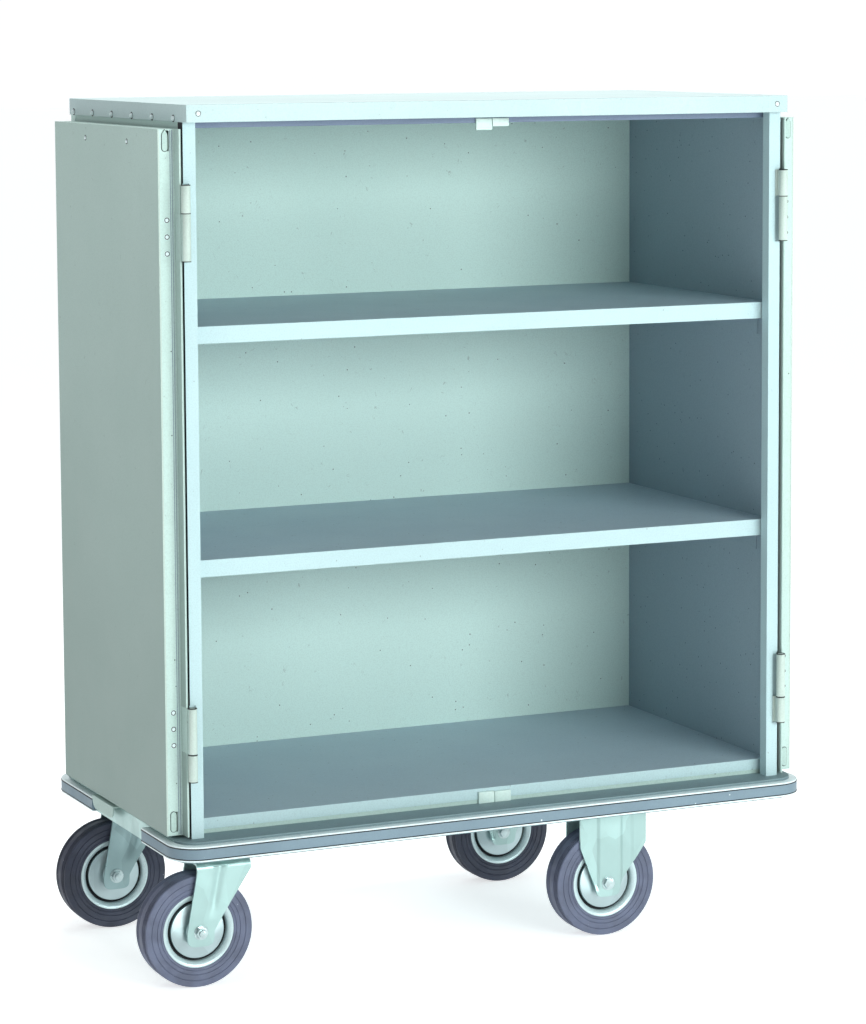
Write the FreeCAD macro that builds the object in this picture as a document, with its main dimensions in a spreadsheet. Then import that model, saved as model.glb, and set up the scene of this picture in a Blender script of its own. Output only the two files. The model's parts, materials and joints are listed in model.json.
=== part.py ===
"""Housekeeping cart: a sheet-metal cabinet with two shelves and two wing doors on a
castored deck with a wrap-round bumper.

Millimetres. +X is right, +Y is back, +Z is up. The origin is on the floor, midway between
the cabinet's sides and midway between its front and its back. The doors are drawn folded
back flat against the cabinet's sides.
"""
import FreeCAD, Part
import math
import os
import re
import Sketcher

V = FreeCAD.Vector
doc = FreeCAD.newDocument("housekeeping_cart")

# ---------------------------------------------------------------- driving dimensions
SIZES = {
    # cabinet
    "width": 1160,             # over the posts
    "depth": 586,              # front of the front posts to the back corners
    "deck_top": 277,           # height of the deck above the floor
    "lid_top": 1538,
    "lid_rim": 30,
    "lid_sheet": 1.5,
    "lid_front": 23,           # lid's overhang in front of the posts, over the closed doors
    "lid_back": 4,
    "panel": 1.5,              # side, back and floor sheet
    "post": 23,                # square front posts
    "post_wall": 2.5,
    "corner_leg": 25,          # rear corner angles
    "inset": 29,               # shelf fronts, measured back from the posts' front
    "rail_inset": 32,          # header rail and floor lip, measured the same way
    "header_low": 1497,
    "header_deep": 30,
    "header_wall": 2,
    # shelves
    "upper_top": 1159,
    "lower_top": 756,
    "shelf_edge": 30,
    "angle_high": 33,
    "angle_wide": 25,
    "angle_wall": 2,
    "angle_start": 72,         # front end of a shelf angle, back from the posts' front
    "floor_top": 304,
    "floor_lip": 20,
    # deck
    "deck_over": 27,           # deck's overhang past the cabinet, all round
    "deck_sheet": 3,
    "rail_low": 240,
    "rail_wide": 30,
    "rail_wall": 3,
    "corner_round": 40,
    "bumper_thick": 15,
    "bumper_low": 245,
    "bumper_high": 272,
    "bumper_round": 5,
    "gap_front": -153,         # the bumper is open on the left side between these two
    "gap_back": 112,
    "bracket_front": -2,
    "bracket_back": 110,
    "bracket_low": 254,
    "bracket_straight": 2,     # its side left straight above the round corners
    # doors
    "door_low": 282,
    "door_high": 1497,
    "hinge_out": 12,           # hinge axis in front of the posts, level with their outer side
    "skin_gap": 5.35,          # folded door's skin to the cabinet's side
    "door_sheet": 1.2,
    "lip_thick": 3.45,
    "door_thick": 33.15,
    "lip_end": 6.8,            # across the door from the hinge axis
    "strip_at": 29.8,
    "free_edge": 577,
    "barrel": 8,
    "pin": 4,
    "running": 0.05,
    "frame_barrel": 48,
    "door_barrel": 81,
    "top_hinge": 1355,         # where the top hinge's two barrels meet
    "low_hinge": 427.5,
    "barrel_gap": 0.5,         # from where two barrels meet to each of them
    "notch": 3,                # depth of the posts' notches behind the barrels
    "notch_wide": 10,
    "notch_over": 2,
    "neck": 5.5,               # frame hinge's neck, in from the post's outer side
    "leaf": 9.5,
    "web_from": 3.5,           # door hinge's web starts this far across from the axis
    "flap": 2,
    "web_short": 1,            # web's ends, in from the barrel's
    "flap_back": 5,
    "slot_high": 34,           # slots near the ends of a door's hinge strip
    "slot_near": 10,
    "slot_far": 20,
    "top_slot": 20,            # door's top to the middle of its upper slot
    "low_slot": 24.5,
    "strip_rivet": 3,          # rivets through the strip into the hinges
    "strip_rivet_head": 1,
    "strip_rivet_out": 23.5,
    "strip_rivet_pitch": 28.5,
    "face_rivet": 2.5,         # rivets along a door's top
    "face_rivet_head": 0.8,
    "face_rivet_down": 25,
    "face_rivet_first": 173,
    "face_rivet_pitch": 220,
    # lid fasteners
    "rivet": 3.5,
    "rivet_head": 1.2,
    "rivet_first": 40,
    "rivet_pitch": 105,
    "back_rivet_first": 55,
    "back_rivet_pitch": 210,
    "rivet_down": 6,
    "screw": 4.5,
    "screw_head": 1.5,
    "screw_in": 20,
    "screw_down": 15,
    # door stops at the middle of the front
    "catch_split": 11,         # where the left and right stops meet
    "catch_seam": 1,           # gap between them
    "catch_deep": 4.5,
    "catch_left": 31,          # the left stops' width
    "catch_right": 32,         # the right stops' width
    "catch_up": 8,             # the top stops' reach above the header's edge
    "catch_hang_left": 12.5,   # the top stops' hang below it
    "catch_hang_right": 6.5,
    "catch_under_left": 6,     # the floor stops' tops, below the cabinet floor
    "catch_under_right": 7,
    # casters
    "wheel": 100,              # tyre radius
    "wheel_wide": 50,
    "tyre_bead": 20,           # half widths and radii of the tyre and the rim, from here
    "bead_high": 6,
    "sidewall": 24,
    "shoulder": 3,
    "rim": 60,
    "rim_sheet": 3,
    "rim_edge": 22,
    "rim_lip": 5,
    "disc_half": 14,
    "disc_in": 38,
    "disc_out": 48,
    "hub_foot": 18,
    "hub": 14,
    "hub_end": 29.6,           # to here
    "axle": 6,
    "thread_end": 3,           # the axle bolts' ends past their nuts
    "nut": 10.5,               # corner radius of the axles' heads and nuts
    "head_high": 7,
    "nut_high": 8,
    "leg_gap": 30,             # half the clear width in a fork
    "leg": 4,
    "plate_long": 140,
    "plate_wide": 110,
    "plate": 5,
    "bolt_long": 52.5,         # caster bolts, from the plate's centre
    "bolt_wide": 43,
    "bolt": 5,
    "bolt_hole": 5.5,
    "bolt_head": 8,
    "bolt_head_high": 6,
    "beam_over": 1,            # beams' overhang past the caster plates
    "race": 34,
    "race_high": 6,
    "fork_half": 50,
    "fork_low": 214,
    "fork_top": 222,
    "fork_shoulder": 207,      # where the legs' sides start to slant
    "bracket_shoulder_left": 172,
    "bracket_shoulder_right": 166,
    "fork_tip": 25,            # radius of the legs' round tips
    "tip_steep": 106,          # where a leg's sides meet its tip
    "tip_slant": 92,
    "tip_low": 86,
    "tip_foot": 20,
    "king_low": 206,
    "king_head": 11,
    "king_head_high": 7.5,
    "bracket_half": 67,
    "track": 221,              # casters' half track, front to back
    "swivel_at": -506,
    "trail": 44.6,
    "fixed_at": 247,           # fixed wheels' axles
    "bracket_shift": 12,       # fixed bracket's centre ahead of its axle
    # latch in the right door, and the plain pull in the left one
    "latch_high": 940,
    "latch_back": 60,          # latch spindle to the door's free edge
    "dish_hole": 46,
    "dish_flange": 49,
    "dish": 45.5,
    "dish_wall": 2,
    "pull_deep": 16,
    "latch_deep": 20,
    "spindle": 6,
    "spindle_hole": 6.5,
    "pan_hole": 9,
    "grip_half_long": 40,
    "grip_half_wide": 7,
    "grip_deep": 9,
    "boss": 12,
    "boss_end": 17.5,
    "cam_gap": 1,
    "cam_thick": 3,
    "cam_half_wide": 9,
    "cam_tail": 12,
    "cam_reach": 18,           # cam's end past the door's free edge, when turned to it
}

sheet = doc.addObject("Spreadsheet::Sheet", "sizes")
for row, (alias, number) in enumerate(SIZES.items(), start=1):
    sheet.set(f"A{row}", alias)
    sheet.set(f"B{row}", str(number))
    sheet.setAlias(f"B{row}", alias)
doc.recompute()

ALIAS = re.compile(r"\b(" + "|".join(sorted(SIZES, key=len, reverse=True)) + r")\b")


def cells(text):
    """The expression with every size read from the sheet."""
    return ALIAS.sub(r"sizes.\1", str(text))


def bind(obj, **properties):
    for name, text in properties.items():
        obj.setExpression(name, cells(text))
    return obj


def place(obj, x, y, z):
    for axis, text in zip("xyz", (x, y, z)):
        obj.setExpression(f"Placement.Base.{axis}", cells(text))
    return obj


def size(alias):
    return float(sheet.get(alias))


# ---------------------------------------------------------------- building blocks
parts = []        # every finished sub-part
counter = iter(range(1, 10000))


def name_for(kind):
    return f"{kind}_{next(counter)}"


def finished(obj, label):
    obj.Label = label
    parts.append(obj)
    return obj


def box(x, y, z):
    """A block between two places on each axis."""
    obj = doc.addObject("Part::Box", name_for("block"))
    bind(obj, Length=f"({x[1]})-({x[0]})", Width=f"({y[1]})-({y[0]})", Height=f"({z[1]})-({z[0]})")
    return place(obj, x[0], y[0], z[0])


TURN = {
    "x": FreeCAD.Rotation(V(0, 1, 0), 90),
    "y": FreeCAD.Rotation(V(1, 0, 0), -90),
    "z": FreeCAD.Rotation(),
}


def rod(radius, start, length, axis="z"):
    """A round bar that starts at a point and runs along +axis."""
    obj = doc.addObject("Part::Cylinder", name_for("rod"))
    obj.Placement = FreeCAD.Placement(V(), TURN[axis])
    bind(obj, Radius=radius, Height=length)
    return place(obj, *start)


def cone(radius_low, radius_high, start, height):
    obj = doc.addObject("Part::Cone", name_for("cone"))
    bind(obj, Radius1=radius_low, Radius2=radius_high, Height=height)
    return place(obj, *start)


def hexagon(across, start, length, axis="z"):
    """A hexagon bar, for a bolt head or a nut, by its corner radius."""
    obj = doc.addObject("Part::Prism", name_for("hexagon"))
    obj.Polygon = 6
    obj.Placement = FreeCAD.Placement(V(), TURN[axis])
    bind(obj, Circumradius=across, Height=length)
    return place(obj, *start)


def fuse(*shapes):
    obj = doc.addObject("Part::MultiFuse", name_for("joined"))
    obj.Shapes = list(shapes)
    obj.Refine = True
    return obj


def cut(base, *tools):
    obj = doc.addObject("Part::Cut", name_for("cut"))
    obj.Base = base
    obj.Tool = tools[0] if len(tools) == 1 else group(*tools)
    return obj


def group(*solids):
    """Separate solids that share a node."""
    obj = doc.addObject("Part::Compound", name_for("group"))
    obj.Links = list(solids)
    return obj


def body_sketch(body, plane, corners):
    """A closed outline in one of the body's origin planes, every corner bound to the sheet."""
    sketch = body.newObject("Sketcher::SketchObject", name_for("outline"))
    origin = next(f for f in body.Origin.OriginFeatures if f.Role == plane)
    sketch.AttachmentSupport = (origin, [""])
    sketch.MapMode = "FlatFace"
    count = len(corners)
    # The corners start on a circle, and their constraints then move them to their places.
    turns = [2 * math.pi * (i + 0.3) / count for i in range(count)]
    rough = [V(100 * math.cos(turn), 100 * math.sin(turn), 0) for turn in turns]
    for i in range(count):
        sketch.addGeometry(Part.LineSegment(rough[i], rough[(i + 1) % count]), False)
    for i in range(count):
        sketch.addConstraint(Sketcher.Constraint("Coincident", i, 2, (i + 1) % count, 1))
    for i, corner in enumerate(corners):
        for kind, start, text in zip(("DistanceX", "DistanceY"), rough[i], corner):
            at = sketch.addConstraint(Sketcher.Constraint(kind, -1, 1, i, 1, start))
            sketch.setExpression(f"Constraints[{at}]", cells(text))
    return sketch


def turned(points, place_at):
    """A ring made by turning an outline of (across, radius) corners about the Y axis."""
    body = doc.addObject("PartDesign::Body", name_for("body"))
    sketch = body_sketch(body, "XY_Plane", points)
    ring = body.newObject("PartDesign::Revolution", name_for("revolution"))
    ring.Profile = sketch
    ring.ReferenceAxis = (sketch, ["H_Axis"])
    ring.Angle = 360
    body.Placement = FreeCAD.Placement(V(), FreeCAD.Rotation(V(0, 0, 1), 90))
    return place(body, *place_at)


def upright_edges(shape):
    return [
        f"Edge{i}"
        for i, edge in enumerate(shape.Edges, start=1)
        if abs(edge.tangentAt(edge.FirstParameter).z) > 0.99
    ]


def outer_rim_edges(shape):
    """The edges round the top and the bottom of a plate, curved ones included."""
    box_ = shape.BoundBox
    return [
        f"Edge{i}"
        for i, edge in enumerate(shape.Edges, start=1)
        if abs(edge.BoundBox.ZMin - edge.BoundBox.ZMax) < 1e-6
        and min(abs(edge.BoundBox.ZMin - box_.ZMin), abs(edge.BoundBox.ZMax - box_.ZMax)) < 1e-6
    ]


def rounded_slab(half_x, half_y, z, radius, edge_radius=None):
    """A slab centred on the origin, with round corners seen from above."""
    body = doc.addObject("PartDesign::Body", name_for("body"))
    left, front = f"-({half_x})", f"-({half_y})"
    corners = [(left, front), (half_x, front), (half_x, half_y), (left, half_y)]
    sketch = body_sketch(body, "XY_Plane", corners)
    pad = body.newObject("PartDesign::Pad", name_for("pad"))
    pad.Profile = sketch
    bind(pad, Length=f"({z[1]})-({z[0]})")
    doc.recompute()
    fillet = body.newObject("PartDesign::Fillet", name_for("round"))
    fillet.Base = (pad, upright_edges(pad.Shape))
    bind(fillet, Radius=radius)
    if edge_radius:
        doc.recompute()
        soft = body.newObject("PartDesign::Fillet", name_for("round"))
        soft.Base = (fillet, outer_rim_edges(fillet.Shape))
        bind(soft, Radius=edge_radius)
    return place(body, "0", "0", z[0])


def tray(x, y, z, wall):
    """A folded sheet box, open underneath."""
    inner_x = (f"({x[0]})+({wall})", f"({x[1]})-({wall})")
    inner_y = (f"({y[0]})+({wall})", f"({y[1]})-({wall})")
    return cut(box(x, y, z), box(inner_x, inner_y, (z[0], f"({z[1]})-({wall})")))


FRONT = "-depth/2"
BACK = "depth/2"
SIDES = ("left", "right")


def out_from(side, low, high):
    """An x range outside the cabinet, from distances out from its side."""
    if side == "left":
        return (f"-(width/2+({high}))", f"-(width/2+({low}))")
    return (f"width/2+({low})", f"width/2+({high})")


def in_from(side, low, high):
    """An x range inside the cabinet, from distances in from its side."""
    return out_from(side, f"-({high})", f"-({low})")


AXIS_Y = f"{FRONT}-hinge_out"
HINGES = (
    # each hinge's door barrel, frame barrel and whole length, low and high
    (
        ("top_hinge-door_barrel", "top_hinge-barrel_gap"),
        ("top_hinge+barrel_gap", "top_hinge+frame_barrel"),
        ("top_hinge-door_barrel", "top_hinge+frame_barrel"),
    ),
    (
        ("low_hinge+barrel_gap", "low_hinge+door_barrel"),
        ("low_hinge-frame_barrel", "low_hinge-barrel_gap"),
        ("low_hinge-frame_barrel", "low_hinge+door_barrel"),
    ),
)


# ---------------------------------------------------------------- deck
RAIL_Z = ("rail_low", "deck_top-deck_sheet")
EDGE_X = "width/2+deck_over"
EDGE_Y = "depth/2+deck_over"


def make_deck():
    plate = rounded_slab(EDGE_X, EDGE_Y, ("deck_top-deck_sheet", "deck_top"), "corner_round")
    finished(plate, "deck_plate")
    run_x = (f"-({EDGE_X}-corner_round)", f"{EDGE_X}-corner_round")
    run_y = (f"-({EDGE_Y}-corner_round)", f"{EDGE_Y}-corner_round")
    long_rails = [
        box(run_x, (f"-({EDGE_Y})", f"-({EDGE_Y}-rail_wide)"), RAIL_Z),
        box(run_x, (f"{EDGE_Y}-rail_wide", EDGE_Y), RAIL_Z),
    ]
    finished(group(*long_rails), "deck_long_rails")
    end_rails = [
        box((f"-({EDGE_X})", f"-({EDGE_X}-rail_wide)"), run_y, RAIL_Z),
        box((f"{EDGE_X}-rail_wide", EDGE_X), run_y, RAIL_Z),
    ]
    finished(group(*end_rails), "deck_end_rails")
    castings = []
    for sign_x, sign_y, turn in ((1, 1, 0), (-1, 1, 90), (-1, -1, 180), (1, -1, 270)):
        corner = doc.addObject("Part::Cylinder", name_for("corner"))
        corner.Angle = 90
        corner.Placement = FreeCAD.Placement(V(), FreeCAD.Rotation(V(0, 0, 1), turn))
        bind(corner, Radius="corner_round", Height="deck_top-deck_sheet-rail_low")
        centre = (f"{sign_x}*({EDGE_X}-corner_round)", f"{sign_y}*({EDGE_Y}-corner_round)")
        place(corner, *centre, "rail_low")
        # The casting's inner faces are level with the rails' inner faces.
        reach = "corner_round-rail_wide"
        inside = box(
            (f"{centre[0]}-({reach})", f"{centre[0]}+{reach}"),
            (f"{centre[1]}-({reach})", f"{centre[1]}+{reach}"),
            ("rail_low-1", "deck_top-deck_sheet+1"),
        )
        castings.append(cut(corner, inside))
    finished(group(*castings), "deck_corners")
    across = (f"-({EDGE_Y}-rail_wide)", f"{EDGE_Y}-rail_wide")
    beams = []
    for centre in ("swivel_at", "fixed_at+bracket_shift"):
        x = (f"{centre}-plate_long/2-beam_over", f"{centre}+plate_long/2+beam_over")
        inner_x = (f"{x[0]}+rail_wall", f"{x[1]}-rail_wall")
        inner_z = ("rail_low+rail_wall", "deck_top-deck_sheet-rail_wall")
        outside = box(x, across, RAIL_Z)
        hollow = box(inner_x, across, inner_z)
        beams.append(cut(outside, hollow))
    finished(group(*beams), "caster_beams")


def make_bumper():
    z = ("bumper_low", "bumper_high")
    through = ("bumper_low-1", "bumper_high+1")
    outer_x, outer_y = f"{EDGE_X}+bumper_thick", f"{EDGE_Y}+bumper_thick"
    outer = rounded_slab(outer_x, outer_y, z, "corner_round+bumper_thick", "bumper_round")
    inner = rounded_slab(EDGE_X, EDGE_Y, through, "corner_round")
    gap = box((f"-({outer_x}+1)", f"-({EDGE_X}-1)"), ("gap_front", "gap_back"), through)
    finished(cut(outer, inner, gap), "bumper")


def make_end_bracket():
    outer_x = f"-({EDGE_X}+bumper_thick)"
    y = ("bracket_front", "bracket_back")
    plate = box((outer_x, f"{outer_x}+deck_sheet"), y, ("bracket_low", "deck_top"))
    flange = box((outer_x, f"-({EDGE_X})"), y, ("deck_top-deck_sheet", "deck_top"))
    doc.recompute()
    rounded = doc.addObject("Part::Fillet", name_for("round"))
    rounded.Base = plate
    low_corners = [
        i
        for i, edge in enumerate(plate.Shape.Edges, start=1)
        if edge.BoundBox.ZMax < size("bracket_low") + 0.01 and edge.BoundBox.XLength > 1
    ]
    bend = size("deck_top") - size("bracket_low") - size("deck_sheet") - size("bracket_straight")
    rounded.Edges = [(i, bend, bend) for i in low_corners]
    finished(fuse(rounded, flange), "end_bracket")


# ---------------------------------------------------------------- cabinet
def make_posts():
    for side in SIDES:
        y = (FRONT, f"{FRONT}+post")
        z = ("deck_top", "lid_top-lid_sheet")
        outside = box(in_from(side, "0", "post"), y, z)
        inner_y = (f"{FRONT}+post_wall", f"{FRONT}+post-post_wall")
        hollow = box(in_from(side, "post_wall", "post-post_wall"), inner_y, z)
        notches = [
            box(
                in_from(side, "-1", "notch_wide"),
                (f"{FRONT}-1", f"{FRONT}+notch"),
                (f"{low}-notch_over", f"{high}+notch_over"),
            )
            for _, _, (low, high) in HINGES
        ]
        backing = box(
            in_from(side, "post_wall", "notch_wide+post_wall"),
            (f"{FRONT}+notch", f"{FRONT}+notch+post_wall"),
            z,
        )
        shell = cut(outside, hollow)
        finished(cut(fuse(shell, backing), *notches), f"front_post_{side}")


def make_panels():
    side_y = (f"{FRONT}+post", f"{BACK}-2*panel")
    high = ("deck_top", "lid_top-lid_sheet")
    for side in SIDES:
        finished(box(in_from(side, "panel", "2*panel"), side_y, high), f"side_panel_{side}")
        along_side = box(in_from(side, "0", "panel"), (f"{BACK}-corner_leg", BACK), high)
        along_back = box(in_from(side, "0", "corner_leg"), (f"{BACK}-panel", BACK), high)
        finished(fuse(along_side, along_back), f"rear_corner_{side}")
    back_x = ("-width/2+panel", "width/2-panel")
    finished(box(back_x, (f"{BACK}-2*panel", f"{BACK}-panel"), high), "back_panel")


INSIDE_X = ("-width/2+2*panel", "width/2-2*panel")
INSIDE_BACK = f"{BACK}-2*panel"


def make_floor_and_shelves():
    front = f"{FRONT}+rail_inset"
    pan = tray(INSIDE_X, (front, INSIDE_BACK), ("deck_top", "floor_top"), "panel")
    under_lip = box(INSIDE_X, (f"{front}-1", f"{front}+panel"), ("deck_top-1", "floor_top-floor_lip"))
    finished(cut(pan, under_lip), "cabinet_floor")
    for name in ("upper", "lower"):
        top = f"{name}_top"
        z = (f"{top}-shelf_edge", top)
        finished(tray(INSIDE_X, (f"{FRONT}+inset", INSIDE_BACK), z, "panel"), f"shelf_{name}")


def make_shelf_angles():
    y = (f"{FRONT}+angle_start", f"{BACK}-10")
    solids = []
    for top in ("upper_top-shelf_edge", "lower_top-shelf_edge"):
        for side in SIDES:
            wall = box(in_from(side, "2*panel", "2*panel+angle_wall"), y, (f"{top}-angle_high", top))
            ledge = box(in_from(side, "2*panel", "2*panel+angle_wide"), y, (f"{top}-angle_wall", top))
            solids.append(fuse(wall, ledge))
    finished(group(*solids), "shelf_angles")


def make_header():
    z = ("header_low", "lid_top-lid_sheet")
    y = (f"{FRONT}+rail_inset", f"{FRONT}+rail_inset+header_deep")
    outside = box(INSIDE_X, y, z)
    inner_y = (f"{y[0]}+header_wall", f"{y[1]}-header_wall")
    hollow = box(INSIDE_X, inner_y, ("header_low+header_wall", "lid_top-lid_sheet-header_wall"))
    finished(cut(outside, hollow), "header_rail")


def make_lid():
    x = ("-width/2-lid_sheet", "width/2+lid_sheet")
    y = (f"{FRONT}-lid_front", f"{BACK}+lid_back")
    finished(tray(x, y, ("lid_top-lid_rim", "lid_top"), "lid_sheet"), "lid")
    level = "lid_top-lid_rim+rivet_down"
    rivets = []
    for i in range(6):
        along_side = f"{FRONT}+rivet_first+{i}*rivet_pitch"
        along_back = f"-width/2+back_rivet_first+{i}*back_rivet_pitch"
        rivets += [
            rod("rivet", ("width/2+lid_sheet", along_side, level), "rivet_head", "x"),
            rod("rivet", ("-width/2-lid_sheet-rivet_head", along_side, level), "rivet_head", "x"),
            rod("rivet", (along_back, f"{BACK}+lid_back", level), "rivet_head", "y"),
        ]
    finished(group(*rivets), "lid_rivets")
    front_face = f"{FRONT}-lid_front-screw_head"
    screws = [
        rod("screw", (f"{sign}*(width/2-screw_in)", front_face, "lid_top-screw_down"), "screw_head", "y")
        for sign in (-1, 1)
    ]
    finished(group(*screws), "lid_screws")


def make_catches():
    """White plastic stops for the two doors, under the header and in front of the floor lip."""
    y = (f"{FRONT}+rail_inset-catch_deep", f"{FRONT}+rail_inset")
    left = ("catch_split-catch_left", "catch_split")
    right = ("catch_split+catch_seam", "catch_split+catch_seam+catch_right")
    for name, blocks in (
        ("top_catches", (
            (*left, "header_low-catch_hang_left", "header_low+catch_up"),
            (*right, "header_low-catch_hang_right", "header_low+catch_up"),
        )),
        ("floor_catches", (
            (*left, "deck_top", "floor_top-catch_under_left"),
            (*right, "deck_top", "floor_top-catch_under_right"),
        )),
    ):
        finished(group(*[box(block[:2], y, block[2:]) for block in blocks]), name)


# ---------------------------------------------------------------- doors and hinges
INNER_FACE = "skin_gap+door_thick"
LIP_BACK = "skin_gap+lip_thick"
WEB_SIDE = "skin_gap+door_sheet"
STRIP_BACK = "strip_at+door_sheet"


def across(distance):
    """A y place on a folded door, from its distance across the door from the hinge axis."""
    return f"{AXIS_Y}+({distance})"


def barrel_tube(x, z, bore):
    """A hinge barrel and the rod that bores it."""
    length = f"({z[1]})-({z[0]})"
    return rod("barrel", (x, AXIS_Y, z[0]), length), rod(bore, (x, AXIS_Y, f"{z[0]}-1"), f"{length}+2")


def make_hinges(side):
    x = "-width/2" if side == "left" else "width/2"
    frame_halves, door_halves, pins = [], [], []
    for door_z, frame_z, (low, high) in HINGES:
        tube, bore = barrel_tube(x, frame_z, "pin")
        neck = box(in_from(side, "0", "neck"), (f"{AXIS_Y}+barrel-2", f"{FRONT}+1"), frame_z)
        leaf = box(in_from(side, "0", "leaf"), (FRONT, f"{FRONT}+notch"), frame_z)
        frame_halves.append(cut(fuse(tube, neck, leaf), bore))
        tube, bore = barrel_tube(x, door_z, "pin+running")
        z = (f"{door_z[0]}+web_short", f"{door_z[1]}-web_short")
        web_y = (across("web_from"), across(f"{STRIP_BACK}+flap"))
        flap_y = (across(STRIP_BACK), web_y[1])
        web = box(out_from(side, WEB_SIDE, LIP_BACK), web_y, z)
        flap = box(out_from(side, LIP_BACK, f"{INNER_FACE}-flap_back"), flap_y, z)
        door_halves.append(cut(fuse(tube, web, flap), bore))
        pins.append(rod("pin", (x, AXIS_Y, low), f"({high})-({low})"))
    finished(group(*frame_halves), f"{side}_frame_hinges")
    finished(group(*door_halves), f"{side}_door_hinges")
    finished(group(*pins), f"{side}_hinge_pins")


def hinge_windows(side):
    """Room in the door's lip for the hinges' webs."""
    x = out_from(side, WEB_SIDE, LIP_BACK)
    y = (across("0"), across(f"{STRIP_BACK}+flap"))
    return [box(x, y, (f"{low}+web_short", f"{high}-web_short")) for (low, high), _, _ in HINGES]


def end_slots(side):
    """The two slots through a door's hinge strip."""
    x = out_from(side, f"{INNER_FACE}-slot_far", f"{INNER_FACE}-slot_near")
    y = (across("strip_at-1"), across(f"{STRIP_BACK}+1"))
    middles = ("door_high-top_slot", "door_low+low_slot")
    return [box(x, y, (f"{middle}-slot_high/2", f"{middle}+slot_high/2")) for middle in middles]


LATCH_Y = across("free_edge-latch_back")


def rod_out(side, radius, near, far):
    """A bar along X on the latch's axis, between two distances out from the cabinet's side."""
    low, high = out_from(side, near, far)
    return rod(radius, (low, LATCH_Y, "latch_high"), f"({high})-({low})", "x")


def make_door(side):
    z = ("door_low", "door_high")
    y = (across("lip_end"), across("free_edge"))
    skin = box(out_from(side, "skin_gap", WEB_SIDE), y, z)
    hole = rod_out(side, "dish_hole", "skin_gap-1", f"{WEB_SIDE}+1")
    finished(cut(skin, hole), f"{side}_door_skin")

    shell = box(out_from(side, WEB_SIDE, INNER_FACE), (across("strip_at"), y[1]), z)
    room = box(
        out_from(side, f"{WEB_SIDE}-1", f"{INNER_FACE}-door_sheet"),
        (across(STRIP_BACK), across("free_edge-door_sheet")),
        ("door_low+door_sheet", "door_high-door_sheet"),
    )
    hem = box(out_from(side, WEB_SIDE, LIP_BACK), (y[0], across(STRIP_BACK)), z)
    tools = end_slots(side) + hinge_windows(side)
    if side == "right":
        tools.append(rod_out(side, "pan_hole", f"{INNER_FACE}-door_sheet-1", f"{INNER_FACE}+1"))
    finished(cut(fuse(cut(shell, room), hem), *tools), f"{side}_door_pan")

    rivets = []
    sign = "-" if side == "left" else ""
    for (low, _), _, _ in HINGES:
        for step in (-1, 0, 1):
            level = f"{low}+door_barrel/2+{step}*strip_rivet_pitch"
            at = (f"{sign}(width/2+strip_rivet_out)", across("strip_at-strip_rivet_head"), level)
            rivets.append(rod("strip_rivet", at, "strip_rivet_head", "y"))
    x = out_from(side, INNER_FACE, f"{INNER_FACE}+face_rivet_head")[0]
    for i in range(2):
        at = (x, f"{FRONT}+face_rivet_first+{i}*face_rivet_pitch", "door_high-face_rivet_down")
        rivets.append(rod("face_rivet", at, "face_rivet_head", "x"))
    finished(group(*rivets), f"{side}_door_rivets")


def dish(side, depth):
    """A round recess let into a door's outer skin, with a thin flange on the skin."""
    flange = rod_out(side, "dish_flange", "skin_gap-1", "skin_gap")
    cup = rod_out(side, "dish", "skin_gap-1", f"skin_gap+{depth}")
    hollow = rod_out(side, "dish-dish_wall", "skin_gap-2", f"skin_gap+{depth}-dish_wall")
    return cut(fuse(flange, cup), hollow)


def make_latch():
    side = "right"
    finished(dish("left", "pull_deep"), "left_door_pull")
    bore = rod_out(side, "spindle_hole", "0", INNER_FACE)
    finished(cut(dish(side, "latch_deep"), bore), "latch_dish")
    grip = box(
        out_from(side, "skin_gap", "skin_gap+grip_deep"),
        (f"{LATCH_Y}-grip_half_wide", f"{LATCH_Y}+grip_half_wide"),
        ("latch_high-grip_half_long", "latch_high+grip_half_long"),
    )
    boss = rod_out(side, "boss", "skin_gap+dish_wall", "skin_gap+boss_end")
    spindle = rod_out(side, "spindle", "skin_gap+dish_wall", f"{INNER_FACE}+cam_gap")
    finished(fuse(grip, boss, spindle), "latch_handle")
    cam = box(
        out_from(side, f"{INNER_FACE}+cam_gap", f"{INNER_FACE}+cam_gap+cam_thick"),
        (f"{LATCH_Y}-cam_half_wide", f"{LATCH_Y}+cam_half_wide"),
        ("latch_high-cam_tail", "latch_high+latch_back+cam_reach"),
    )
    finished(cam, "latch_cam")


# ---------------------------------------------------------------- casters
def tyre_outline():
    half = [
        ("tyre_bead", "rim"),
        ("tyre_bead", "rim+bead_high"),
        ("wheel_wide/2", "wheel-sidewall"),
        ("wheel_wide/2", "wheel-shoulder"),
        ("wheel_wide/2-shoulder", "wheel"),
    ]
    return half + [(f"-({a})", r) for a, r in reversed(half)]


def rim_outline():
    half = [
        ("hub_end", "axle+running"),
        ("hub_end", "hub"),
        ("hub_foot", "hub_foot"),
        ("disc_half", "disc_in"),
        ("disc_half", "disc_out"),
        ("tyre_bead", "rim-rim_sheet"),
        ("rim_edge", "rim+rim_lip"),
        ("tyre_bead", "rim+rim_lip"),
        ("tyre_bead", "rim"),
    ]
    return half + [(f"-({a})", r) for a, r in reversed(half)]


def make_wheel(name, x, y):
    at = (x, y, "wheel")
    finished(turned(tyre_outline(), at), f"{name}_tyre")
    finished(turned(rim_outline(), at), f"{name}_rim")


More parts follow.
